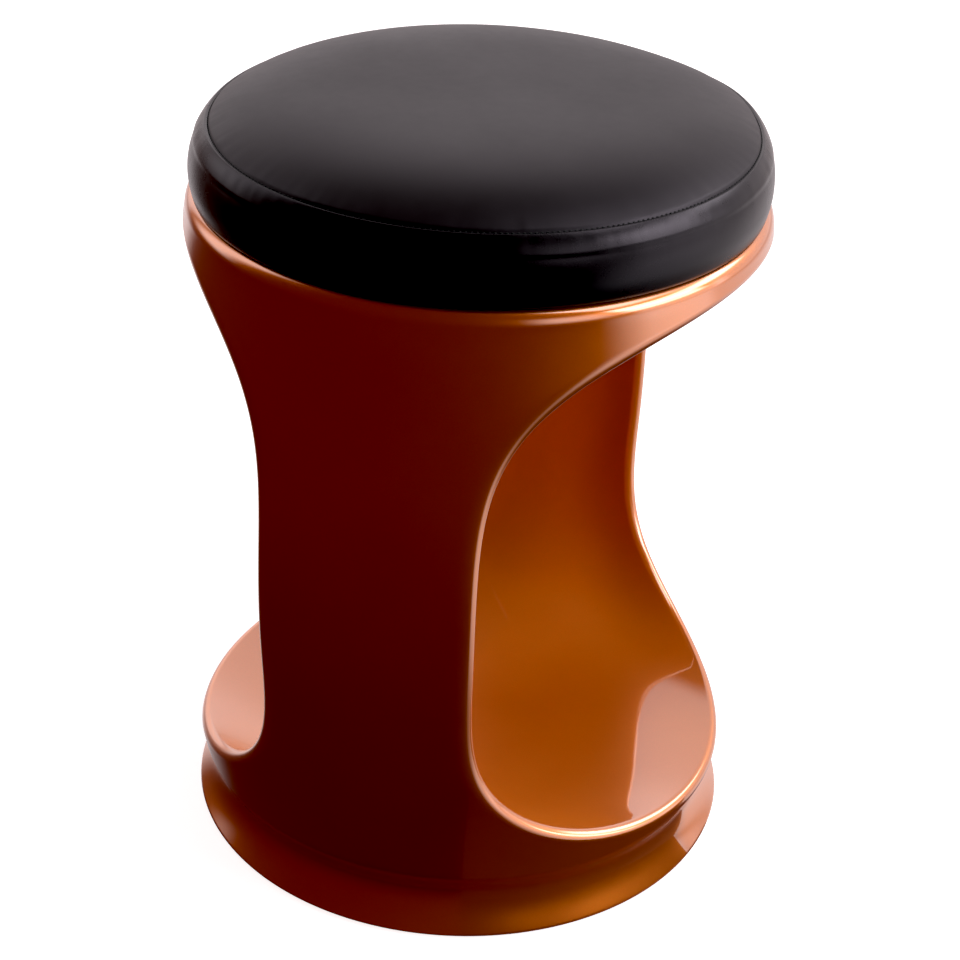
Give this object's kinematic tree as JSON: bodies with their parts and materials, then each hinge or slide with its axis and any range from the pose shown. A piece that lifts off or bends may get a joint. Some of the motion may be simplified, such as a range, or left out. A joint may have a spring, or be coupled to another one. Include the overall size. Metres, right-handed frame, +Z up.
{
  "type": "round stool",
  "caption": "Low round stool: a glossy one-piece moulded body with an open tunnel between two walls, and a padded round leather seat bolted on top.",
  "frame": {"origin": "bottom centre, on the floor under the middle of the seat", "axes": "+Z up through the middle of the seat; the tunnel runs along X and the walls stand at +Y and -Y"},
  "size_m": [0.33, 0.3632, 0.4593],
  "materials": {
    "lacquer": "metallic copper lacquer under clear coat",
    "black_leather": "smooth, semi-matt",
    "thread": "twisted, waxed",
    "plywood": "raw",
    "zinc_steel": "zinc plated",
    "foam": "open-cell foam",
    "wadding": "soft fibre",
    "dust_fabric": "non-woven",
    "black_board": "matt",
    "felt": "pressed felt"
  },
  "bodies": {
    "root": {"body_shell": "lacquer", "fixing_blocks": "plywood", "base_plate": "black_board", "plate_screw_set": "zinc_steel", "felt_glides": "felt", "seat_board": "plywood", "tee_nuts": "zinc_steel", "seat_bolts": "zinc_steel", "bolt_washers": "zinc_steel", "dust_cover": "dust_fabric", "hem_staples": "zinc_steel", "foam_core": "foam", "wadding_layer": "wadding", "leather_top": "black_leather", "leather_band": "black_leather", "seam_thread": "thread"}
  },
  "joints": []
}
